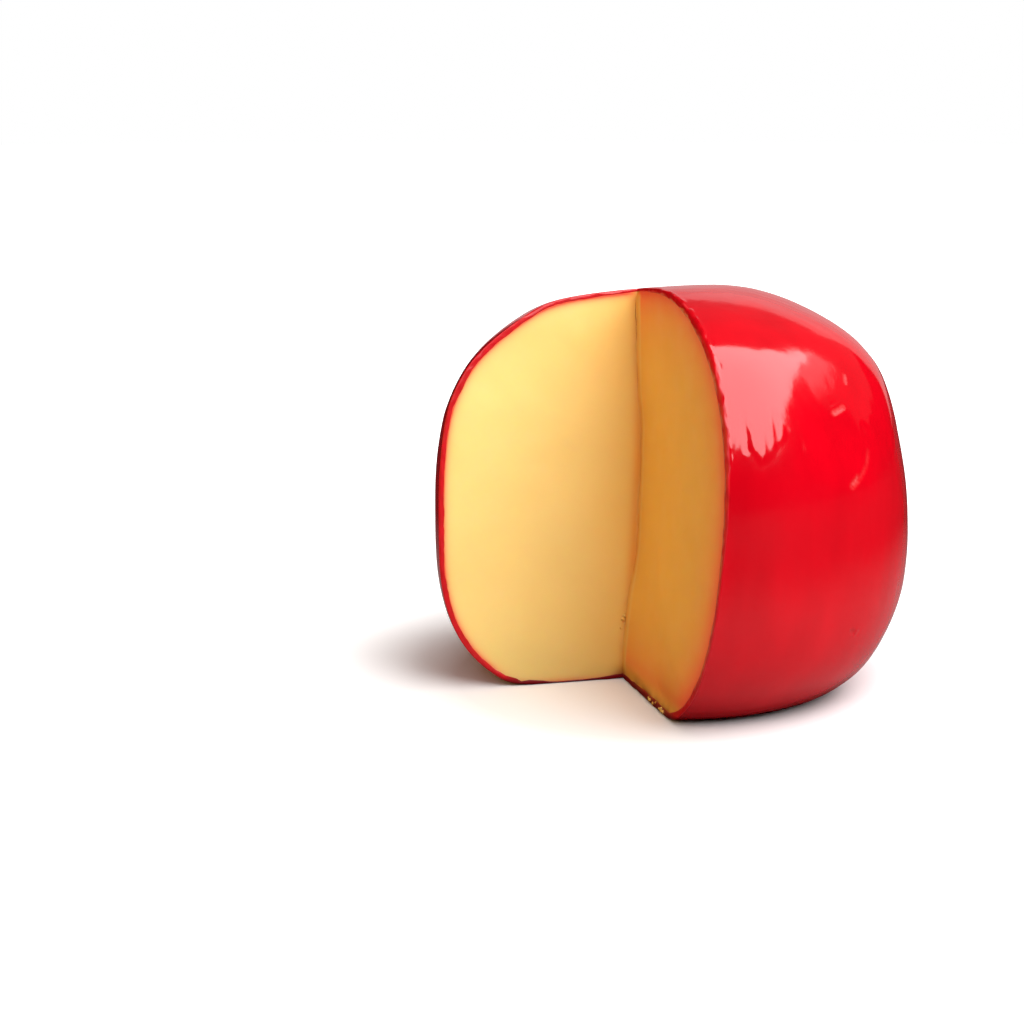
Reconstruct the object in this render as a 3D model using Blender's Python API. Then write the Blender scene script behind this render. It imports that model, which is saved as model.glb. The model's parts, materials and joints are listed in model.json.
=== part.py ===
"""A ball of wax-coated semi-hard cheese with a quarter wedge cut out of it, in metres, +Z up.

It is two solids: the cheese itself, and the thin coat of wax that the whole ball was dipped in.
The origin is where the ball's upright axis meets the surface that it stands on. The two faces of
the cut leave its inner corner along -X and along -Y.
"""

import math

import bmesh
import bpy
import numpy as np

# Driving dimensions of the whole ball, wax included, before its flats were pressed into it.
RADIUS = 0.073
HEIGHT = 0.1228
BELT_HEIGHT = 0.0551  # where the ball is widest

# The ball is two halves of a superellipsoid. The lower one would reach further down than the
# foot, which is what gives the ball its flat foot.
LOWER_DEPTH = 0.0617
LOWER_FULLNESS = 3.14
UPPER_FULLNESS = 2.50

# The coat of wax, and the gap that keeps the two solids apart.
WAX_THICKNESS = 0.0018
SOLID_GAP = 0.0003

# The ball is a little uneven: it was pressed flat where it lay against others. Each row is the
# azimuth and elevation that a flat faces, in degrees, and its distance from the middle of the
# belt in radii.
FLATS = (
    (176, 56, 1.010),
    (112, 80, 0.921),
    (180, 4, 1.000),
    (-22, 12, 0.997),
    (-22, -28, 1.056),
    (-22, 65, 1.000),
    (-62, 30, 1.010),
    (22, 38, 1.020),
    (38, -14, 1.024),
    (74, 6, 1.000),
    (96, 44, 1.022),
    (128, -20, 1.036),
    (136, 18, 1.016),
)
FLAT_BLEND = 0.004  # how softly a flat runs into the round of the ball
FOOT_BLEND = 0.003

# The knife's inner corner: where it stands at the foot and at the crown, and how far it bows
# sideways half way up.
CORNER_FOOT = (-0.0147, 0.0001)
CORNER_CROWN = (-0.0068, 0.0142)
CORNER_BOW = 0.0027

# The cut's two faces, by the azimuth in which each leaves the corner.
LEFT_FACE = math.radians(180)
RIGHT_FACE = math.radians(-90)

# How finely the solids are faceted.
STEPS_ROUND = 44
STEPS_UP = 30
STEPS_ACROSS_FACE = 7
SEARCH_ROUNDS = 40
MERGE_DISTANCE = 1e-6
SHARP_ANGLE = math.radians(35)


def smooth_max(a, b, blend):
    """The larger of a and b, with the crease between them rounded off over blend."""
    share = np.clip(0.5 + 0.5 * (a - b) / blend, 0, 1)
    return b + (a - b) * share + blend * share * (1 - share)


def facing(azimuth, elevation):
    """The unit vector that points that way, from angles in degrees."""
    azimuth, elevation = math.radians(azimuth), math.radians(elevation)
    level = math.cos(elevation)
    return level * math.cos(azimuth), level * math.sin(azimuth), math.sin(elevation)


def depth_outside(x, y, z, inset):
    """How far a point is outside the ball, about, once inset has been pared off all round it."""
    above = z > BELT_HEIGHT
    fullness = np.where(above, UPPER_FULLNESS, LOWER_FULLNESS)
    reach = np.where(above, HEIGHT - BELT_HEIGHT, LOWER_DEPTH) - inset
    radius = RADIUS - inset
    spread = (np.hypot(x, y) / radius) ** fullness + (abs(z - BELT_HEIGHT) / reach) ** fullness
    depth = (spread ** (1 / fullness) - 1) * radius
    for azimuth, elevation, distance in FLATS:
        nx, ny, nz = facing(azimuth, elevation)
        beyond = x * nx + y * ny + (z - BELT_HEIGHT) * nz - (distance * RADIUS - inset)
        depth = smooth_max(depth, beyond, FLAT_BLEND)
    return smooth_max(depth, inset - z, FOOT_BLEND)


def corner_at(z):
    """Where the cut's inner corner is, at height z."""
    rise = z / HEIGHT
    x = CORNER_FOOT[0] + (CORNER_CROWN[0] - CORNER_FOOT[0]) * rise
    y = CORNER_FOOT[1] + (CORNER_CROWN[1] - CORNER_FOOT[1]) * rise
    return x + CORNER_BOW * np.sin(np.pi * rise), y


def from_corner(azimuth, away, z):
    """The points that lie away from the inner corner in that azimuth, at height z."""
    x, y = corner_at(z)
    return np.stack([x + away * np.cos(azimuth), y + away * np.sin(azimuth), z], axis=-1)


def skin(azimuths, inset):
    """The ball's surface with inset pared off, as a grid of points: round by azimuth, and up from
    the foot of the inner corner to its crown. Each lies on a ray from half way up the corner."""
    tilts = np.linspace(-math.pi / 2, math.pi / 2, STEPS_UP + 1)
    azimuth, tilt = np.meshgrid(azimuths, tilts, indexing="ij")
    near, far = np.zeros_like(tilt), np.full_like(tilt, 2 * RADIUS)
    for _ in range(SEARCH_ROUNDS):
        middle = (near + far) / 2
        points = from_corner(azimuth, middle * np.cos(tilt), BELT_HEIGHT + middle * np.sin(tilt))
        inside = depth_outside(*np.moveaxis(points, -1, 0), inset) < 0
        near, far = np.where(inside, middle, near), np.where(inside, far, middle)
    on_foot = abs(points[..., 2] - inset) < MERGE_DISTANCE
    points[..., 2] = np.where(on_foot, inset, points[..., 2])
    return points


def ball_skin(inset):
    """The skin of all that the cut leaves, from the left face round the back to the right one."""
    return skin(np.linspace(LEFT_FACE, RIGHT_FACE, STEPS_ROUND + 1), inset)


def cut_face(azimuth, edge):
    """A face of the cut, as a grid of points from the inner corner out to its edge on the skin."""
    corner_heights = np.linspace(edge[0, 2], edge[-1, 2], len(edge))
    x, y = corner_at(edge[:, 2])
    reach = np.hypot(edge[:, 0] - x, edge[:, 1] - y)
    across = np.linspace(0, 1, STEPS_ACROSS_FACE + 1)[:, None]
    heights = corner_heights + across * (edge[:, 2] - corner_heights)
    return from_corner(azimuth, across * reach, heights)


def solid(name, grids, material):
    """One closed object from grids of points that meet edge to edge."""
    shape = bmesh.new()
    for grid in grids:
        rows = [[shape.verts.new(point) for point in row] for row in grid]
        for low, high in zip(rows, rows[1:]):
            for corners in zip(low, low[1:], high[1:], high):
                shape.faces.new(corners)
    bmesh.ops.remove_doubles(shape, verts=shape.verts, dist=MERGE_DISTANCE)
    bmesh.ops.dissolve_degenerate(shape, dist=MERGE_DISTANCE, edges=shape.edges)
    bmesh.ops.triangulate(shape, faces=shape.faces)
    bmesh.ops.recalc_face_normals(shape, faces=shape.faces)
    mesh = bpy.data.meshes.new(name)
    shape.to_mesh(mesh)
    shape.free()
    mesh.materials.append(material)
    mesh.shade_smooth()
    mesh.set_sharp_from_angle(angle=SHARP_ANGLE)
    made = bpy.data.objects.new(name, mesh)
    bpy.context.scene.collection.objects.link(made)
    return made


def finish(name, colour, roughness):
    """A material with that look."""
    made = bpy.data.materials.new(name)
    made.use_nodes = True
    shader = made.node_tree.nodes["Principled BSDF"]
    shader.inputs["Base Color"].default_value = (*colour, 1)
    shader.inputs["Roughness"].default_value = roughness
    shader.inputs["Metallic"].default_value = 0
    return made


def wax_coat():
    """The coat of wax: a shell that stops, with its thickness showing, at both faces of the cut."""
    outer, inner = ball_skin(0), ball_skin(WAX_THICKNESS)
    rims = [np.stack([outer[side], inner[side]]) for side in (0, -1)]
    red_wax = finish("red_wax", colour=(0.72, 0.008, 0.02), roughness=0.25)
    return solid("wax_coat", [outer, inner, *rims], red_wax)


def cheese():
    """The cheese inside the coat, solid through, with the cut's two flat faces."""
    rind = ball_skin(WAX_THICKNESS + SOLID_GAP)
    faces = [cut_face(LEFT_FACE, rind[0]), cut_face(RIGHT_FACE, rind[-1])]
    pale_cheese = finish("pale_cheese", colour=(0.90, 0.60, 0.20), roughness=0.45)
    return solid("cheese", [rind, *faces], pale_cheese)


for leftover in list(bpy.data.objects):
    bpy.data.objects.remove(leftover)
wax_coat()
cheese()
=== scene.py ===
"""The looks of the cut ball of waxed cheese: red wax, the cut's two faces and the crumbs that the
knife left, in a plain white studio.

Everything is in metres, +Z up, in the frame of the CAD part. The ball stands on the floor at the
origin. Its cut faces leave their inner corner along -X and -Y, on the camera's side.
"""

import json
import math

import bmesh
import bpy
import numpy as np
from mathutils import Matrix, Vector

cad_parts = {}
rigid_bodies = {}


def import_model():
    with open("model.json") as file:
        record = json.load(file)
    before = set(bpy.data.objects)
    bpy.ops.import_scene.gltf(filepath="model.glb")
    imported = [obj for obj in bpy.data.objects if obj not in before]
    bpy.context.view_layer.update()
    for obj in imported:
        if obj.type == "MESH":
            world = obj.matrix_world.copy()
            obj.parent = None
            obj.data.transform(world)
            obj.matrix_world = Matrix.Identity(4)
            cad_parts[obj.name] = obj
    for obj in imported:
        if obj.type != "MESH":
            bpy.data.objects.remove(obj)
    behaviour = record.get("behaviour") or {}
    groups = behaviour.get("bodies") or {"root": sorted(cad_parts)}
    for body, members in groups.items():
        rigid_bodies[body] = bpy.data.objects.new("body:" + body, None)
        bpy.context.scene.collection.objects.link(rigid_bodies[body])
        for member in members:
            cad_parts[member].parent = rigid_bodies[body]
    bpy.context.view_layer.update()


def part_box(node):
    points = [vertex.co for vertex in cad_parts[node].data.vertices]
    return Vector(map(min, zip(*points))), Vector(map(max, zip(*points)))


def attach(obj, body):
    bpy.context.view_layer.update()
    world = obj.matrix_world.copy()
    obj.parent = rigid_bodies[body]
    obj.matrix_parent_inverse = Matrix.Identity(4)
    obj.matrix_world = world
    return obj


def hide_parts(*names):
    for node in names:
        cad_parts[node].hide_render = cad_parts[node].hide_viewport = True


MM = 0.001

# The ball's form, as in the CAD part: two halves of a superellipsoid, with flats pressed into it.
RADIUS = 0.073
HEIGHT = 0.1228
BELT_HEIGHT = 0.0551
LOWER_DEPTH = 0.0617
LOWER_FULLNESS = 3.14
UPPER_FULLNESS = 2.50
FLATS = (  # azimuth, elevation in degrees, distance from the belt's middle in radii
    (176, 56, 1.010),
    (112, 80, 0.921),
    (180, 4, 1.000),
    (-22, 12, 0.997),
    (-22, -28, 1.056),
    (-22, 65, 1.000),
    (-62, 30, 1.010),
    (22, 38, 1.020),
    (38, -14, 1.024),
    (74, 6, 1.000),
    (96, 44, 1.022),
    (128, -20, 1.036),
    (136, 18, 1.016),
)
FLAT_BLEND = 0.004
FOOT_BLEND = 0.003
CORNER_FOOT = (-0.0147, 0.0001)
CORNER_CROWN = (-0.0068, 0.0142)
CORNER_BOW = 0.0027
LEFT_FACE = math.radians(180)
RIGHT_FACE = math.radians(-90)
SEARCH_ROUNDS = 40
PROBE = 0.00005

# How finely the pieces are meshed.
ROWS = 331
FRONT_COLUMNS = 150
BACK_COLUMNS = 85
INNER_COLUMNS = 25
FACE_COLUMNS = 84
FRONT_START = math.radians(-20)  # the front, which is meshed finely, runs from here to the cut
EDGE_STEPS = (0, 0.1, 0.22, 0.36, 0.54, 0.76, 1.0, 1.25, 1.5, 1.75, 2.0, 2.3)  # mm from a cut
RIM_STEPS = (0.08, 0.2, 0.4, 0.6, 0.8, 0.93, 1)
CORNER_STEPS = (0, 0.15, 0.32, 0.52, 0.78, 1.1, 1.6, 2.2)  # mm from the inner corner
FACE_REACH = 60  # mm from the inner corner to the rim, about
MERGE_DISTANCE = 1e-6
ROW_AZIMUTH = math.radians(-50)  # where the rows are evenly spaced

# The wax.
WAX_THICKNESS = 0.0018
SINK = 0.00010  # the fine skin lies this far inside the CAD one, so that it stays in its box
RIND_LAP = 0.0001  # how far the cheese reaches into the coat, so that no gap shows
RIM_TUCK = 0.0005
# Thickness of the band that shows, in mm, by tilt from the inner corner: -90 is the foot end.
LEFT_BAND = ((-90, 1.7), (-84, 1.1), (-79, 0.65), (-67, 0.6), (-63, 1.3), (-59.5, 1.5),
             (-58.2, 0.7), (-57, 1.6), (-40, 1.9), (40, 1.8), (75, 1.5), (90, 1.3))
RIGHT_BAND = ((-90, 1.7), (-75, 2.2), (-55, 2.3), (-40, 1.9), (-10, 1.7), (5, 2.1), (45, 2.2),
              (70, 1.7), (90, 1.3))
# How far the outer edge of the band is worn round, in mm.
LEFT_WEAR = ((-90, 0.3), (90, 0.4))
RIGHT_WEAR = ((-90, 0.5), (-45, 0.35), (-5, 0.3), (5, 0.6), (20, 0.8), (55, 0.95), (75, 0.6),
              (90, 0.4))

# Where the second coat of wax ends in front: azimuths in degrees and heights in mm.
DRIPS = ((-98, 86.5), (-96, 86.0), (-94.6, 84.2), (-93.6, 84.4), (-92.8, 87.0), (-91.6, 92.0),
         (-90.6, 91.0), (-89.8, 85.0), (-88.6, 81.0), (-87.4, 80.2), (-86.2, 82.2), (-85.0, 82.6),
         (-83.6, 85.0), (-82.0, 86.0), (-80, 88.0), (-76, 85.0))

# Marks in the wax: places as azimuth and elevation from the belt's middle, width and depth in mm,
# and how pale the wax is painted, for scuffs with a painted highlight on the small nicks, or below 0
# how dark, for painted shade in the pits.
MARKS = (
    (((-91.0, 30.0), (-90.6, 26.0), (-90.8, 22.5)), 0.80, 0.14, 0),
    (((-85.6, 27.5), (-85.4, 22.0)), 0.70, 0.08, 0),
    (((-82.6, 31.0), (-82.8, 25.0)), 0.80, 0.08, 0),
    (((-51.6, 37.4), (-53.0, 35.6)), 0.50, 0.14, 0.5),
    (((-62.6, 29.4), (-60.0, 29.9), (-57.9, 30.4)), 0.62, 0.16, 0.75),
    (((-54.5, 19.3), (-56.6, 16.4), (-59.6, 14.0), (-62.4, 12.5)), 0.48, 0.22, 0.6),
    (((-60.6, 14.0), (-62.8, 12.5)), 0.75, 0.20, 0.75),
    (((-94.7, 43.2), (-94.6, 41.4)), 0.30, 0.15, -0.9),
    (((-60.6, -20.8), (-59.0, -21.6)), 0.50, 0.35, -0.9),
    (((-58.2, -22.4), (-57.0, -21.4)), 0.45, 0.20, 0.5),
    (((-90.2, 11.8),), 0.30, 0.20, -0.4),
    (((-80.8, 10.8),), 0.30, 0.20, 0.4),
    (((20.0, 26.0), (23.0, 18.0)), 0.50, 0.25, 0.5),
    (((84.0, 34.0),), 0.50, 0.25, -0.7),
    (((132.0, 8.0), (139.0, 11.0)), 0.50, 0.25, 0.5),
    (((-8.0, -12.0),), 0.45, 0.25, -0.7),
    (((60.0, -24.0), (63.0, -18.0)), 0.50, 0.25, 0.5),
)


def smooth_max(a, b, blend):
    """The larger of a and b, with the crease between them rounded off over blend."""
    share = np.clip(0.5 + 0.5 * (a - b) / blend, 0, 1)
    return b + (a - b) * share + blend * share * (1 - share)


def smooth_step(low, high, value):
    """0 below low, 1 above high, and a smooth rise between them."""
    share = np.clip((value - low) / (high - low), 0, 1)
    return share * share * (3 - 2 * share)


def by_tilt(table, tilt):
    """A value in metres from a table of tilts in degrees and values in mm."""
    tilts, values = zip(*table)
    return np.interp(np.degrees(tilt), tilts, values) * MM


def facing(azimuth, elevation):
    """The unit vector that points that way, from angles in degrees."""
    azimuth, elevation = math.radians(azimuth), math.radians(elevation)
    level = math.cos(elevation)
    return np.array([level * math.cos(azimuth), level * math.sin(azimuth), math.sin(elevation)])


def waves(points, length, seed, stretch=1.0, count=24):
    """A random smooth relief of about unit height: its waves are about length long, and stretch
    times that from top to bottom."""
    dice = np.random.default_rng(seed)
    directions = dice.normal(size=(count, 3))
    directions /= np.linalg.norm(directions, axis=1, keepdims=True)
    directions *= dice.uniform(0.6, 1.6, (count, 1)) * 2 * math.pi / length
    directions[:, 2] /= stretch
    phases = dice.uniform(0, 2 * math.pi, count)
    total = np.zeros(points.shape[:-1])
    for direction, phase in zip(directions, phases):
        total += np.sin(points @ direction + phase)
    return total * math.sqrt(2 / count)


def depth_outside(points, inset):
    """How far points are outside the ball, about, once inset has been pared off all round it."""
    x, y, z = np.moveaxis(points, -1, 0)
    above = z > BELT_HEIGHT
    fullness = np.where(above, UPPER_FULLNESS, LOWER_FULLNESS)
    reach = np.where(above, HEIGHT - BELT_HEIGHT, LOWER_DEPTH) - inset
    radius = RADIUS - inset
    spread = (np.hypot(x, y) / radius) ** fullness + (abs(z - BELT_HEIGHT) / reach) ** fullness
    depth = (spread ** (1 / fullness) - 1) * radius
    for azimuth, elevation, distance in FLATS:
        nx, ny, nz = facing(azimuth, elevation)
        beyond = x * nx + y * ny + (z - BELT_HEIGHT) * nz - (distance * RADIUS - inset)
        depth = smooth_max(depth, beyond, FLAT_BLEND)
    return smooth_max(depth, inset - z, FOOT_BLEND)


def outward(points):
    """The ball's outward normals at points on its skin."""
    slope = np.zeros_like(points)
    for axis in range(3):
        step = np.zeros(3)
        step[axis] = PROBE
        slope[..., axis] = depth_outside(points + step, 0) - depth_outside(points - step, 0)
    return slope / np.linalg.norm(slope, axis=-1, keepdims=True)


def corner_at(z):
    """Where the cut's inner corner is, at height z."""
    rise = z / HEIGHT
    x = CORNER_FOOT[0] + (CORNER_CROWN[0] - CORNER_FOOT[0]) * rise
    y = CORNER_FOOT[1] + (CORNER_CROWN[1] - CORNER_FOOT[1]) * rise
    return x + CORNER_BOW * np.sin(np.pi * rise), y


def from_corner(azimuth, away, z):
    """The points that lie away from the inner corner in that azimuth, at height z."""
    x, y = corner_at(z)
    return np.stack([x + away * np.cos(azimuth), y + away * np.sin(azimuth), z], axis=-1)


def skin(azimuths, inset):
    """The ball's surface with inset pared off, as a grid of points: round by azimuth, and up from
    the foot of the inner corner to its crown. Each lies on a ray from half way up the corner."""
    azimuth, tilt = np.meshgrid(azimuths, TILTS, indexing="ij")
    near, far = np.zeros_like(tilt), np.full_like(tilt, 2 * RADIUS)
    for _ in range(SEARCH_ROUNDS):
        middle = (near + far) / 2
        points = from_corner(azimuth, middle * np.cos(tilt), BELT_HEIGHT + middle * np.sin(tilt))
        inside = depth_outside(points, inset) < 0
        near, far = np.where(inside, middle, near), np.where(inside, far, middle)
    return points


def even_tilts():
    """The tilts of the rows, so that they lie evenly up the ball's side, and sparsely on its foot."""
    global TILTS
    TILTS = np.linspace(-math.pi / 2, math.pi / 2, 1500)
    line = skin([ROW_AZIMUTH], 0)[0]
    steps = np.linalg.norm(np.diff(line, axis=0), axis=1)
    steps *= np.where(line[1:, 2] < 0.002, 0.3, np.where(line[1:, 2] > 0.09, 1.3, 1))
    passed = np.concatenate([[0], np.cumsum(steps)])
    return np.interp(np.linspace(0, passed[-1], ROWS), passed, TILTS)


def on_ball(azimuth, elevation):
    """The point of the ball's skin that lies that way from the middle of its belt."""
    start, way = np.array([0, 0, BELT_HEIGHT]), facing(azimuth, elevation)
    near, far = 0, 2 * RADIUS
    for _ in range(SEARCH_ROUNDS):
        middle = (near + far) / 2
        if depth_outside(start + middle * way, 0) < 0:
            near = middle
        else:
            far = middle
    return start + near * way


def past_cut(points):
    """How far points are from the space that the cut leaves."""
    x, y = corner_at(points[..., 2])
    right, back = points[..., 0] - x, points[..., 1] - y
    both = np.hypot(np.maximum(right, 0), np.maximum(back, 0))
    return np.where(right < 0, back, np.where(back < 0, right, both))


def from_path(points, path):
    """How far points are from a path across the ball's skin."""
    stops = [on_ball(*place) for place in path]
    nearest = np.linalg.norm(points - stops[0], axis=-1)
    for start, end in zip(stops, stops[1:]):
        run = end - start
        share = np.clip((points - start) @ run / (run @ run), 0, 1)
        nearest = np.minimum(nearest, np.linalg.norm(points - start - share[..., None] * run, axis=-1))
    return nearest


def marks(points):
    """How deep the marks go: each is a shallow pit or scratch with a raised lip round it."""
    depth = np.zeros(points.shape[:-1])
    for path, width, deep, _ in MARKS:
        across = from_path(points, path) / (width * MM)
        depth += deep * MM * (np.exp(-(across**2)) - 0.3 * np.exp(-((across - 1.9) ** 2) * 2))
    return depth


def tone(points):
    """How much paler, or below 0 darker, the marks make the wax: paler is scuffing with a painted highlight, darker
    is painted shade in the pits.
    """
    total = np.zeros(points.shape[:-1])
    for path, width, _, pale in MARKS:
        rough = np.clip(1 + 0.35 * waves(points, 0.0018, seed=25), 0.3, 1.5)
        total += pale * rough * np.exp(-((from_path(points, path) / (0.9 * width * MM)) ** 2))
    return np.clip(total, -1, 1)


def skin_relief(points):
    """How far the wax's outer skin lies inside the ball's true form."""
    broad = 0.00004 * waves(points, 0.034, seed=3)
    runs = 0.000010 * waves(points, 0.0068, seed=11, stretch=5.5, count=40)
    small = 0.000006 * waves(points, 0.011, seed=5, stretch=1.6, count=30)
    off_foot = smooth_step(0, 0.004, points[..., 2])
    relief = broad + runs + small + drips(points) + marks(points) - lip(points)
    return SINK + off_foot * np.maximum(relief + 0.0002, 0)


def wear_near(points):
    """How far the nearer cut's outer edge is worn round, for points near a cut."""
    x, y = corner_at(points[..., 2])
    on_left = (points[..., 0] < x) & (points[..., 1] > y - 0.001)
    away = np.hypot(points[..., 0] - x, points[..., 1] - y)
    tilt = np.arctan2(points[..., 2] - BELT_HEIGHT, away)
    return np.where(on_left, by_tilt(LEFT_WEAR, tilt), by_tilt(RIGHT_WEAR, tilt))


def lip(points):
    """The ridge of wax that the knife pushed up just outside the worn edge, high on the right."""
    across = (past_cut(points) - 1.4 * wear_near(points)) / 0.0005
    rough = np.clip(0.6 + 0.7 * waves(points, 0.0055, seed=23), 0, 1.6)
    where = smooth_step(0.070, 0.092, points[..., 2]) * (points[..., 1] < 0)
    return 0.0002 * rough * where * np.exp(-(across**2))


def drips(points):
    """The lower end of the second coat of wax, which ran down in drips before it set."""
    around = points * np.array([1, 1, 0])
    azimuth = np.degrees(np.arctan2(points[..., 1], points[..., 0]))
    front = np.interp(azimuth, *zip(*DRIPS), left=0, right=0) * MM
    wavy = 0.0830 + 0.0026 * waves(around, 0.0075, seed=21) + 0.002 * waves(around, 0.02, seed=22)
    end = np.where(front > 0, front, wavy) + 0.0003 * waves(around, 0.002, seed=24)
    return 0.00014 * smooth_step(0.0015, -0.0015, points[..., 2] - end)


def worn_edge(points, wear):
    """How far the skin drops away as it comes to a cut, for an edge worn round by that much."""
    ahead = np.clip(1 - past_cut(points) / wear, 0, 1)
    return wear * (1 - np.sqrt(1 - ahead**2))


def toward_poles():
    """1 along the cut, fading to 0 at its foot and its crown, where the two bands meet."""
    turn = np.degrees(math.pi / 2 - abs(TILTS))
    return smooth_step(0, 6, turn)


def band_thickness(table, seed):
    """The wax's thickness along a cut, with the unevenness that the knife left."""
    line = np.stack([TILTS * RADIUS, TILTS * 0, TILTS * 0], axis=-1)
    uneven = 1 + toward_poles() * (0.04 * waves(line, 0.011, seed) + 0.03 * waves(line, 0.004, seed + 1))
    return by_tilt(table, TILTS) * uneven


def edge_wear(table, seed):
    """How round the outer edge is along a cut, with chips in it."""
    line = np.stack([TILTS * RADIUS, TILTS * 0, TILTS * 0], axis=-1)
    chips = 1 + toward_poles() * (0.3 * waves(line, 0.008, seed) + 0.2 * waves(line, 0.003, seed + 1))
    return by_tilt(table, TILTS) * np.clip(chips, 0.35, 1.8)


def round_azimuths():
    """Azimuths from the left face round the back to the right face, closer together in front."""
    edge = np.array(EDGE_STEPS) * MM / RADIUS
    back = np.linspace(LEFT_FACE - 0.036, FRONT_START, BACK_COLUMNS)
    front = np.linspace(FRONT_START, RIGHT_FACE + 0.036, FRONT_COLUMNS)[1:]
    return np.concatenate([LEFT_FACE - edge, back, front, (RIGHT_FACE + edge)[::-1]])


def inner_azimuths():
    """The same way round in few steps, starting and ending just behind the faces."""
    tuck = RIM_TUCK / RADIUS
    return np.linspace(LEFT_FACE - tuck, RIGHT_FACE + tuck, INNER_COLUMNS)


def all_round(left, right, azimuths):
    """A grid of values that goes from those along the left cut to those along the right one."""
    share = smooth_step(0.08, 0.92, (LEFT_FACE - azimuths) / (LEFT_FACE - RIGHT_FACE))[:, None]
    return left + (right - left) * share


def band(outer, inner, out_of_face, seed):
    """The wax's cut edge, as a strip of points from its outer skin to its inner one. The knife
    left it a little proud of the cheese, which it laps over."""
    strips = [outer]
    for share in RIM_STEPS:
        strip = outer + (inner - outer) * share
        proud = 0.00009 + 0.00005 * waves(strip, 0.005, seed) + 0.00003 * waves(strip, 0.0022, seed + 1)
        hump = math.sin(math.pi * (0.12 + 0.7 * share))
        lift = np.maximum(proud, 0.00002) * hump * toward_poles()
        strips.append(strip + lift[:, None] * np.array(out_of_face))
    return np.stack(strips)


def closed_mesh(name, grids):
    """A closed mesh from grids of points that meet edge to edge."""
    points, faces, start = [], [], 0
    for grid in grids:
        columns, rows = grid.shape[:2]
        index = np.arange(columns * rows).reshape(columns, rows) + start
        faces.append(np.stack([index[:-1, :-1], index[1:, :-1], index[1:, 1:], index[:-1, 1:]], axis=-1))
        points.append(grid.reshape(-1, 3))
        start += columns * rows
    mesh = bpy.data.meshes.new(name)
    mesh.from_pydata(np.concatenate(points).tolist(), [], np.concatenate([f.reshape(-1, 4) for f in faces]).tolist())
    shape = bmesh.new()
    shape.from_mesh(mesh)
    bmesh.ops.remove_doubles(shape, verts=shape.verts, dist=MERGE_DISTANCE)
    bmesh.ops.dissolve_degenerate(shape, dist=MERGE_DISTANCE, edges=shape.edges)
    bmesh.ops.recalc_face_normals(shape, faces=shape.faces)
    shape.to_mesh(mesh)
    shape.free()
    mesh.shade_smooth()
    return mesh


def places_of(mesh):
    """The mesh's points."""
    places = np.zeros(len(mesh.vertices) * 3)
    mesh.vertices.foreach_get("co", places)
    return places.reshape(-1, 3)


def note(mesh, name, values):
    """Keeps one value per point, for the materials to read."""
    mesh.attributes.new(name, "FLOAT", "POINT").data.foreach_set("value", values.astype(np.float32))


def piece(name, mesh, material, node=None):
    """An object of the part, which rides on its one body."""
    mesh.materials.append(material)
    made = bpy.data.objects.new(name, mesh)
    bpy.context.scene.collection.objects.link(made)
    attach(made, "root")
    if node:
        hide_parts(node)
    return made


def wax_grids():
    """The outer skin, the inner skin, and the band at each cut that joins them."""
    azimuths = round_azimuths()
    wear = all_round(edge_wear(LEFT_WEAR, 31), edge_wear(RIGHT_WEAR, 41), azimuths)
    points = skin(azimuths, 0)
    sink = skin_relief(points) + worn_edge(points, wear)
    outer = points - outward(points) * sink[..., None]
    thickness = all_round(band_thickness(LEFT_BAND, 51), band_thickness(RIGHT_BAND, 61), inner_azimuths())
    inner = skin(inner_azimuths(), thickness)
    left_inner = skin([LEFT_FACE], thickness[:1])[0]
    right_inner = skin([RIGHT_FACE], thickness[-1:])[0]
    left = band(outer[0], left_inner, (0, -1, 0), 71)
    right = band(outer[-1], right_inner, (-1, 0, 0), 81)
    tucks = [np.stack([left[-1], inner[0]]), np.stack([right[-1], inner[-1]])]
    return [outer, inner, left, right, *tucks]


def wax_coat(material):
    """The coat of wax, in place of its CAD node."""
    low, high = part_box("wax_coat")
    grids = [np.clip(grid, low, high) for grid in wax_grids()]
    mesh = closed_mesh("wax_skin", grids)
    places = places_of(mesh)
    worn = wear_near(places)
    note(mesh, "cut", 1 - smooth_step(1.0 * worn, 1.4 * worn, past_cut(places)))
    marked = tone(places)
    # Pale marks: scuffed wax, with a painted highlight on the small nicks.
    note(mesh, "scuff_and_painted_glint", np.maximum(marked, 0))
    # Painted shade: dark in the pits of the marks, and on the cut band at its foot, where the ball meets the floor.
    on_band = smooth_step(0.0004, 0.0001, past_cut(places))
    foot_shade = 0.75 * on_band * smooth_step(0.0035, 0.0012, places[:, 2])
    note(mesh, "painted_shade", np.maximum(-marked, foot_shade))
    piece("wax_skin", mesh, material, "wax_coat")


def corner_wander(z):
    """How far the inner corner strays sideways from the CAD one, at height z."""
    stray = smooth_step(0.024, 0.042, z) - smooth_step(0.078, 0.092, z)
    ends = smooth_step(0, 0.006, z) * smooth_step(0, 0.006, HEIGHT - 0.002 - z)
    return (-0.0007 + 0.0014 * stray) * ends


def cut_face(azimuth, edge, out_of_face, seed):
    """A face of the cut, as a grid of points from the inner corner out to its edge on the skin."""
    near = np.array(CORNER_STEPS) / FACE_REACH
    across = np.concatenate([near, np.linspace(near[-1], 1, FACE_COLUMNS)[1:]])[:, None]
    corner_heights = np.linspace(edge[0, 2], edge[-1, 2], len(edge))
    x, y = corner_at(edge[:, 2])
    away = across * np.hypot(edge[:, 0] - x, edge[:, 1] - y)
    heights = corner_heights + across * (edge[:, 2] - corner_heights)
    points = from_corner(azimuth, away, heights)
    inside = -depth_outside(points, WAX_THICKNESS)
    gentle = 0.00013 * waves(points, 0.036, seed) + 0.00004 * waves(points, 0.012, seed + 1)
    points += (gentle * smooth_step(0, 0.004, inside))[..., None] * np.array(out_of_face)
    points[..., 0] += corner_wander(heights) * np.exp(-away / 0.012)
    return eased(points, away, heights)


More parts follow.
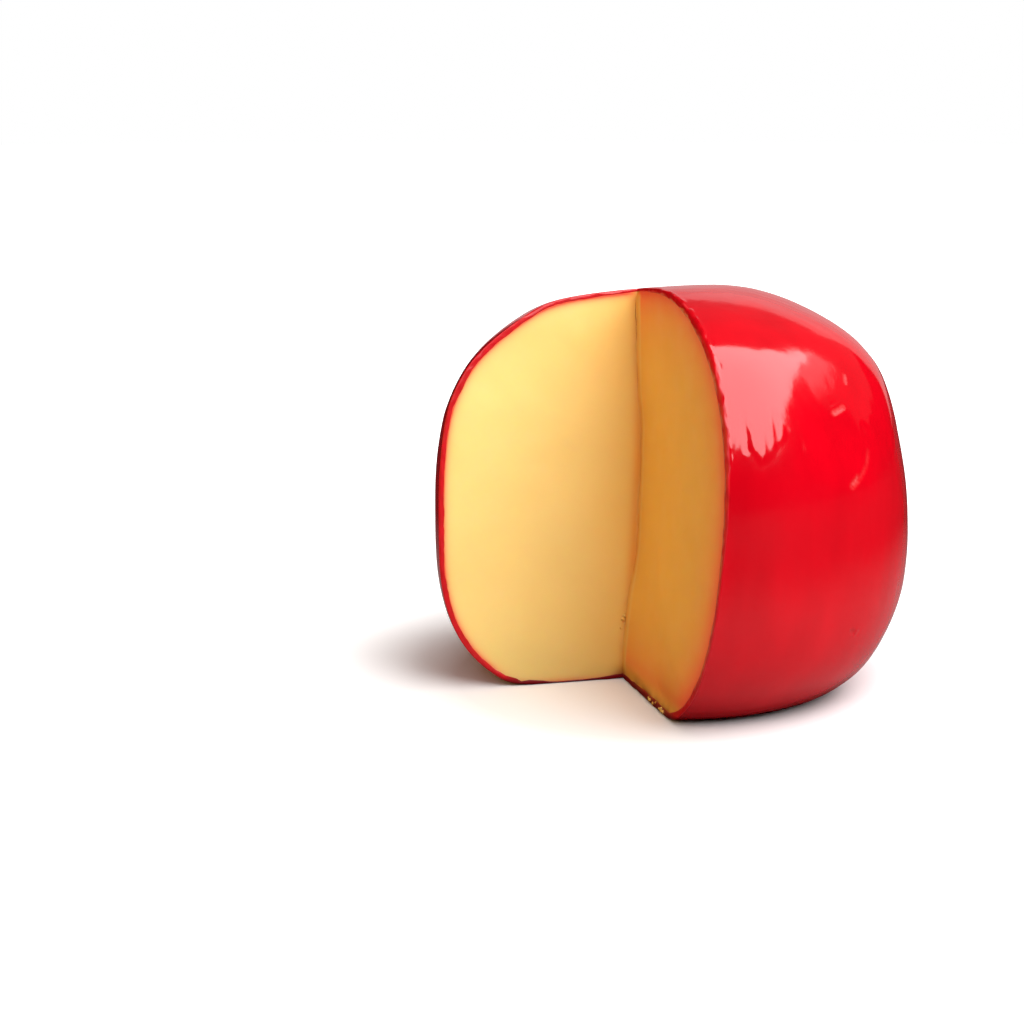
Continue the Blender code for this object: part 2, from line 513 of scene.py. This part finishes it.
def eased(points, away, heights):
    """The same points, with the inner corner filled out a little, so that it is not quite sharp."""
    line = np.stack([heights, heights * 0, heights * 0], axis=-1)
    fill = 0.00042 + 0.00012 * waves(line, 0.014, 91) + 0.00008 * waves(line, 0.005, 92)
    ends = smooth_step(0, 0.004, heights) * smooth_step(0, 0.004, HEIGHT - 0.002 - heights)
    push = np.clip(fill, 0.0001, 0.0008) * ends * np.exp(-away / 0.0009)
    return points - push[..., None] * np.array([0.7, 0.7, 0])


def cheese_grids():
    """The rind, hidden in the wax, and the two faces of the cut."""
    thickness = all_round(band_thickness(LEFT_BAND, 51), band_thickness(RIGHT_BAND, 61), inner_azimuths())
    azimuths = np.linspace(LEFT_FACE, RIGHT_FACE, INNER_COLUMNS)
    rind = skin(azimuths, thickness - RIND_LAP)
    left = cut_face(LEFT_FACE, rind[0], (0, -1, 0), 101)
    right = cut_face(RIGHT_FACE, rind[-1], (-1, 0, 0), 111)
    return [rind, left, right]


def cheese(material):
    """The cheese, in place of its CAD node."""
    mesh = closed_mesh("cheese_body", cheese_grids())
    places = places_of(mesh)
    x, y = corner_at(places[:, 2])
    from_wax = -depth_outside(places, WAX_THICKNESS)
    from_inner = np.hypot(places[:, 0] - x, places[:, 1] - y)
    on_right = smooth_step(0.002, 0.004, y - places[:, 1])
    from_foot = np.hypot(from_inner, places[:, 2])
    off_foot = 1 - 0.8 * smooth_step(0.008, 0.003, places[:, 2])
    # Painted light: an orange-red glow beside the wax, for light that comes through the red coat; it reaches far on
    # the right face.
    left_glow = np.exp(-from_wax / 0.0009)
    right_glow = np.exp(-np.maximum(from_wax, 0) / 0.0075)
    note(mesh, "painted_wax_glow", off_foot * (left_glow + on_right * (right_glow - left_glow)))
    # Painted shade: orange-brown along the inner corner.
    note(mesh, "corner_painted_shade", np.exp(-((from_inner / 0.0020) ** 2)))
    # Painted shade: dark brown along the foot of the right face and at the foot of the inner corner, where the cut
    # meets the floor.
    right_foot_shade = on_right * np.exp(-np.maximum(places[:, 2] - 0.0022, 0) / 0.0009)
    patchy = np.clip(0.75 + 0.4 * waves(places, 0.005, seed=121), 0, 1)
    corner_foot_shade = np.exp(-((from_foot / 0.0032) ** 2))
    note(mesh, "with_painted_shade", np.maximum(right_foot_shade * patchy * smooth_step(0.008, 0.016, from_inner), corner_foot_shade))
    # Painted shade: a deeper orange on the shaded right face and toward the inner corner.
    note(mesh, "deep", np.maximum(0.6 * np.exp(-from_inner / 0.014), 0.9 * on_right))
    piece("cheese_body", mesh, material, "cheese")


# Crumbs: which face they cling to, how far from the corner and how high in mm, and their size.
CRUMBS = (
    ("right", 26.5, 1.5, 0.50),
    ("right", 28.2, 1.2, 0.62),
    ("right", 30.6, 1.0, 0.45),
    ("right", 36.8, 1.2, 0.48),
    ("right", 38.6, 1.4, 0.72),
    ("right", 40.4, 1.0, 0.50),
    ("right", 33.0, 1.9, 0.36),
    ("left", 1.8, 18.6, 0.75),
    ("left", 1.6, 19.6, 0.50),
    ("left", 2.3, 15.8, 0.45),
    ("left", 1.1, 17.2, 0.30),
)


def crumb(shape, place, size, seed):
    """Adds one rough lump."""
    made = bmesh.ops.create_icosphere(shape, subdivisions=3, radius=1)["verts"]
    dice = np.random.default_rng(seed)
    points = np.array([vert.co for vert in made])
    lumpy = 1 + 0.16 * waves(points, 2.2, seed) + 0.07 * waves(points, 0.9, seed + 1)
    points *= lumpy[:, None] * dice.uniform(0.7, 1.2, 3) * size * MM
    for vert, point in zip(made, points + place):
        vert.co = point


def crumbs(material):
    """The crumbs of cheese that cling to the cut."""
    shape = bmesh.new()
    for seed, (face, away, height, size) in enumerate(CRUMBS):
        azimuth = LEFT_FACE if face == "left" else RIGHT_FACE
        out = np.array([-1, -1, 0]) if face == "left" else np.array([-1, 0, 0])
        place = from_corner(azimuth, away * MM, np.array(height * MM)) + out * 0.05 * size * MM
        crumb(shape, place, size, 200 + seed)
    mesh = bpy.data.meshes.new("crumbs")
    shape.to_mesh(mesh)
    shape.free()
    mesh.shade_smooth()
    # The crumbs take a little of the painted glow and of the deeper orange painted shade.
    note(mesh, "painted_wax_glow", np.full(len(mesh.vertices), 0.15))
    note(mesh, "corner_painted_shade", np.zeros(len(mesh.vertices)))
    note(mesh, "with_painted_shade", np.zeros(len(mesh.vertices)))
    note(mesh, "deep", np.full(len(mesh.vertices), 0.6))
    piece("crumbs", mesh, material)


class Nodes:
    """Short names for making and joining the nodes of one material."""

    def __init__(self, name):
        self.material = bpy.data.materials.new(name)
        self.material.use_nodes = True
        self.tree = self.material.node_tree
        self.shader = self.tree.nodes["Principled BSDF"]
        self.place = self.tree.nodes.new("ShaderNodeTexCoord").outputs["Object"]

    def link(self, source, socket):
        self.tree.links.new(source, socket)

    def attribute(self, name):
        node = self.tree.nodes.new("ShaderNodeAttribute")
        node.attribute_name = name
        return node.outputs["Fac"]

    def stretched(self, scale):
        node = self.tree.nodes.new("ShaderNodeMapping")
        node.inputs["Scale"].default_value = scale
        self.link(self.place, node.inputs["Vector"])
        return node.outputs["Vector"]

    def noise(self, scale, detail=3, roughness=0.5, vector=None):
        node = self.tree.nodes.new("ShaderNodeTexNoise")
        node.inputs["Scale"].default_value = scale
        node.inputs["Detail"].default_value = detail
        node.inputs["Roughness"].default_value = roughness
        self.link(vector or self.place, node.inputs["Vector"])
        return node.outputs["Fac"]

    def ramp(self, source, low, high, start=0.0, end=1.0):
        node = self.tree.nodes.new("ShaderNodeMapRange")
        node.inputs["From Min"].default_value = low
        node.inputs["From Max"].default_value = high
        node.inputs["To Min"].default_value = start
        node.inputs["To Max"].default_value = end
        self.link(source, node.inputs["Value"])
        return node.outputs["Result"]

    def mix(self, share, first, second):
        """A colour that goes from first to second; each is a colour or a socket."""
        node = self.tree.nodes.new("ShaderNodeMix")
        node.data_type = "RGBA"
        self.link(share, node.inputs["Factor"])
        for value, socket in ((first, node.inputs["A"]), (second, node.inputs["B"])):
            colour_socket = [s for s in node.inputs if s.name == socket.name and s.type == "RGBA"][0]
            if isinstance(value, tuple):
                colour_socket.default_value = (*value, 1)
            else:
                self.link(value, colour_socket)
        return [s for s in node.outputs if s.type == "RGBA"][0]

    def sum(self, first, second, weight):
        """first + second * weight."""
        node = self.tree.nodes.new("ShaderNodeMath")
        node.operation = "MULTIPLY_ADD"
        self.link(second, node.inputs[0])
        node.inputs[1].default_value = weight
        self.link(first, node.inputs[2])
        return node.outputs[0]

    def times(self, first, second):
        node = self.tree.nodes.new("ShaderNodeMath")
        node.operation = "MULTIPLY"
        self.link(first, node.inputs[0])
        self.link(second, node.inputs[1])
        return node.outputs[0]

    def bump(self, height, distance):
        node = self.tree.nodes.new("ShaderNodeBump")
        node.inputs["Strength"].default_value = 1
        node.inputs["Distance"].default_value = distance
        self.link(height, node.inputs["Height"])
        self.link(node.outputs["Normal"], self.shader.inputs["Normal"])


def wax_material():
    """Glossy red wax, with a darker, duller cut edge, painted shade in the pits of the marks and at the foot of the
    cut band, and a painted highlight on the scuffed marks.
    """
    nodes = Nodes("red_wax")
    mottle = nodes.ramp(nodes.noise(75, 4, vector=nodes.stretched((1, 1, 0.3))), 0.3, 0.7)
    body = nodes.mix(mottle, (0.50, 0.0004, 0.0058), (0.60, 0.0004, 0.0072))
    streaks = nodes.noise(420, 3, vector=nodes.stretched((1, 1, 0.5)))
    cut = nodes.mix(nodes.ramp(streaks, 0.35, 0.7), (0.50, 0.0006, 0.004), (0.62, 0.001, 0.007))
    whole = nodes.mix(nodes.attribute("cut"), body, cut)
    # Near-black painted shade in the pits and at the foot of the cut band.
    with_painted_shade = nodes.mix(nodes.attribute("painted_shade"), whole, (0.07, 0.001, 0.004))
    # The pale pink of the marks is scuffing with a painted highlight.
    marked = nodes.mix(nodes.attribute("scuff_and_painted_glint"), with_painted_shade, (0.85, 0.16, 0.15))
    nodes.link(marked, nodes.shader.inputs["Base Color"])
    gloss = nodes.ramp(nodes.noise(60, 4), 0.3, 0.7, 0.085, 0.135)
    dull = nodes.sum(nodes.sum(gloss, nodes.attribute("cut"), 0.20), nodes.attribute("scuff_and_painted_glint"), 0.25)
    nodes.link(dull, nodes.shader.inputs["Roughness"])
    nodes.shader.inputs["IOR"].default_value = 1.5
    ripple = nodes.noise(170, 3, vector=nodes.stretched((1, 1, 0.3)))
    grain = nodes.noise(1500, 2)
    nodes.bump(nodes.sum(ripple, grain, 0.08), 0.00008)
    return nodes.material


def cheese_material():
    """Smooth pale yellow cheese. Painted light on it: an orange-red glow beside the wax; painted shade as a deeper
    orange on the right face and toward the inner corner, an orange-brown line along the inner corner, and dark brown
    at the foot.
    """
    nodes = Nodes("cheese")
    mottle = nodes.ramp(nodes.noise(26, 4), 0.35, 0.65)
    pale = nodes.mix(mottle, (0.93, 0.65, 0.21), (0.95, 0.68, 0.23))
    # Deeper orange painted shade on the right face and toward the inner corner.
    body = nodes.mix(nodes.attribute("deep"), pale, (0.87, 0.44, 0.058))
    # Painted glow of light through the wax.
    beside = nodes.mix(nodes.attribute("painted_wax_glow"), body, (1.0, 0.11, 0.05))
    # Orange-brown painted shade along the inner corner.
    inner = nodes.mix(nodes.attribute("corner_painted_shade"), beside, (0.84, 0.33, 0.045))
    # Dark brown painted shade at the foot of the faces.
    whole = nodes.mix(nodes.attribute("with_painted_shade"), inner, (0.28, 0.065, 0.012))
    nodes.link(whole, nodes.shader.inputs["Base Color"])
    nodes.link(nodes.ramp(nodes.noise(90, 3), 0.3, 0.7, 0.38, 0.5), nodes.shader.inputs["Roughness"])
    nodes.shader.inputs["IOR"].default_value = 1.4
    nodes.shader.inputs["Subsurface Weight"].default_value = 0.4
    nodes.shader.inputs["Subsurface Radius"].default_value = (1.0, 0.55, 0.2)
    nodes.shader.inputs["Subsurface Scale"].default_value = 0.004
    drag = nodes.noise(260, 3, vector=nodes.stretched((1, 1, 0.12)))
    nodes.bump(nodes.sum(drag, nodes.noise(1400, 3), 0.5), 0.00004)
    return nodes.material


def floor():
    """The white table top. Away from the ball it glows a little, so that it runs into white; near the ball that
    glow, seen only by the camera, is painted light that lightens the ball's shadow on it. To light that bounces or
    is mirrored onto the ball, it is painted dark under the ball and darker on the left, as painted shade.
    """
    bpy.ops.mesh.primitive_circle_add(vertices=96, radius=4, fill_type="NGON")
    made = bpy.context.object
    made.name = "floor"
    nodes = Nodes("floor")
    nodes.shader.inputs["Roughness"].default_value = 0.6
    nodes.shader.inputs["Specular IOR Level"].default_value = 0.1
    away = nodes.tree.nodes.new("ShaderNodeVectorMath")
    away.operation = "LENGTH"
    nodes.link(nodes.place, away.inputs[0])
    along = nodes.tree.nodes.new("ShaderNodeSeparateXYZ")
    nodes.link(nodes.place, along.inputs[0])
    light_path = nodes.tree.nodes.new("ShaderNodeLightPath")
    to_camera, to_gloss = light_path.outputs["Is Camera Ray"], light_path.outputs["Is Glossy Ray"]
    # Painted shade: to light that bounces or is mirrored onto the ball, the floor is dark under the ball.
    clear = nodes.ramp(away.outputs["Value"], 0.050, 0.064)
    fade = nodes.ramp(away.outputs["Value"], 0.14, 0.28)
    mirrored = nodes.mix(fade, (0.22, 0.22, 0.22), (0.01, 0.01, 0.01))
    to_wax = nodes.mix(clear, (0.02, 0.02, 0.02), mirrored)
    # Painted shade: the bounce is dimmer on the left of the ball.
    on_right = nodes.ramp(along.outputs["X"], -0.02, 0.06)
    bounced = nodes.mix(on_right, (0.42, 0.42, 0.42), (0.74, 0.74, 0.74))
    to_others = nodes.mix(clear, (0.1, 0.1, 0.1), bounced)
    white = nodes.mix(to_camera, to_others, (0.86, 0.86, 0.86))
    nodes.link(nodes.mix(to_gloss, white, to_wax), nodes.shader.inputs["Base Color"])
    nodes.shader.inputs["Emission Color"].default_value = (1, 1, 1, 1)
    # Painted light: a glow that only the camera sees lightens the ball's shadow near it.
    shadow_fill_glow = nodes.ramp(away.outputs["Value"], 0.066, 0.12, 0.0, 0.55)
    glow = nodes.sum(shadow_fill_glow, nodes.ramp(away.outputs["Value"], 0.15, 0.7), 0.45)
    nodes.link(nodes.times(glow, to_camera), nodes.shader.inputs["Emission Strength"])
    made.data.materials.append(nodes.material)


# The lights are rectangles, each on a plane that faces the ball from one side: the azimuth and
# elevation of that side, the distance and roll of the plane, where the rectangle lies on it in
# parts of the distance (to the left as the ball sees it, and up), its radiance and its colour.
WHITE = (1, 1, 1)
LIGHTS = {
    "key": (-38.5, 45, 1.6, -28, (-0.66, 0.72), (-0.25, 0.75), 5.4, WHITE),
    "key_frame": (-38.5, 45, 1.6, -28, (-0.68, -0.40), (-0.41, -0.25), 1.2, WHITE),
    "fill": (-118, 35, 1.6, 0, (-0.25, 0.25), (-0.3, 0.3), 3.0, WHITE),
    "warm_card": (178, 12, 1.0, 0, (-0.45, 0.45), (-0.25, 0.35), 1.6, (1, 0.53, 0.14)),
    "back_top": (25, 52, 1.6, 0, (-0.95, 0.5), (-0.6, 0.35), 0.13, WHITE),
    "backdrop": (65.5, 0, 1.2, 0, (-0.36, 0.49), (-0.03, 0.62), 0.60, (1, 0.66, 0.66)),
}


def panel(name):
    """One of the lights. Only the ball and the floor see it, not the camera."""
    azimuth, elevation, distance, roll, sides, ends, radiance, colour = LIGHTS[name]
    out = Vector(facing(azimuth, elevation))
    level = Vector(facing(azimuth - 90, 0))
    upright = Vector(facing(azimuth, elevation + 90))
    turn = math.radians(roll)
    across = level * math.cos(turn) + upright * math.sin(turn)
    up = upright * math.cos(turn) - level * math.sin(turn)
    light = bpy.data.lights.new(name, "AREA")
    light.shape = "RECTANGLE"
    light.size = (sides[1] - sides[0]) * distance
    light.size_y = (ends[1] - ends[0]) * distance
    light.energy = radiance * math.pi * light.size * light.size_y
    light.color = colour
    made = bpy.data.objects.new(name, light)
    middle = out + across * sum(sides) / 2 + up * sum(ends) / 2
    place = Matrix.Translation(Vector((0, 0, BELT_HEIGHT)) + distance * middle)
    made.matrix_world = place @ Matrix((-across, up, out)).transposed().to_4x4()
    made.visible_camera = False
    bpy.context.scene.collection.objects.link(made)


ROOM_RADIANCE = 0.01


def surroundings():
    """White to the camera, and a dark room to the ball."""
    world = bpy.data.worlds.new("studio")
    bpy.context.scene.world = world
    world.use_nodes = True
    tree = world.node_tree
    shade = tree.nodes["Background"]
    shade.inputs["Color"].default_value = (1, 1, 1, 1)
    seen = tree.nodes.new("ShaderNodeMath")
    seen.operation = "MAXIMUM"
    seen.inputs[1].default_value = ROOM_RADIANCE
    to_camera = tree.nodes.new("ShaderNodeLightPath").outputs["Is Camera Ray"]
    tree.links.new(to_camera, seen.inputs[0])
    tree.links.new(seen.outputs[0], shade.inputs["Strength"])


# The camera, as fitted to the object's outline: it stands this far from the ball's axis, turned
# this way round it, and looks down and a little to the left of the axis.
CAMERA_DISTANCE = 0.6657
CAMERA_AZIMUTH = -108.5
CAMERA_HEIGHT = 0.1922
CAMERA_TURN = 4.2
CAMERA_DOWN = 11.9
CAMERA_LENS = 77.34


def camera():
    """The camera, from the side that the photograph was taken from."""
    lens = bpy.data.cameras.new("camera")
    lens.lens = CAMERA_LENS
    lens.sensor_width = 36
    lens.clip_start = 0.05
    made = bpy.data.objects.new("camera", lens)
    made.location = Vector(facing(CAMERA_AZIMUTH, 0)) * CAMERA_DISTANCE + Vector((0, 0, CAMERA_HEIGHT))
    look = Vector(facing(CAMERA_AZIMUTH + 180 + CAMERA_TURN, -CAMERA_DOWN))
    made.rotation_euler = look.to_track_quat("-Z", "Y").to_euler()
    bpy.context.scene.collection.objects.link(made)
    bpy.context.scene.camera = made


for leftover in list(bpy.data.objects):
    bpy.data.objects.remove(leftover)
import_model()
TILTS = even_tilts()
wax_coat(wax_material())
cheese_look = cheese_material()
cheese(cheese_look)
crumbs(cheese_look)
floor()
for light_name in LIGHTS:
    panel(light_name)
surroundings()
camera()
bpy.context.scene.view_settings.view_transform = "Standard"
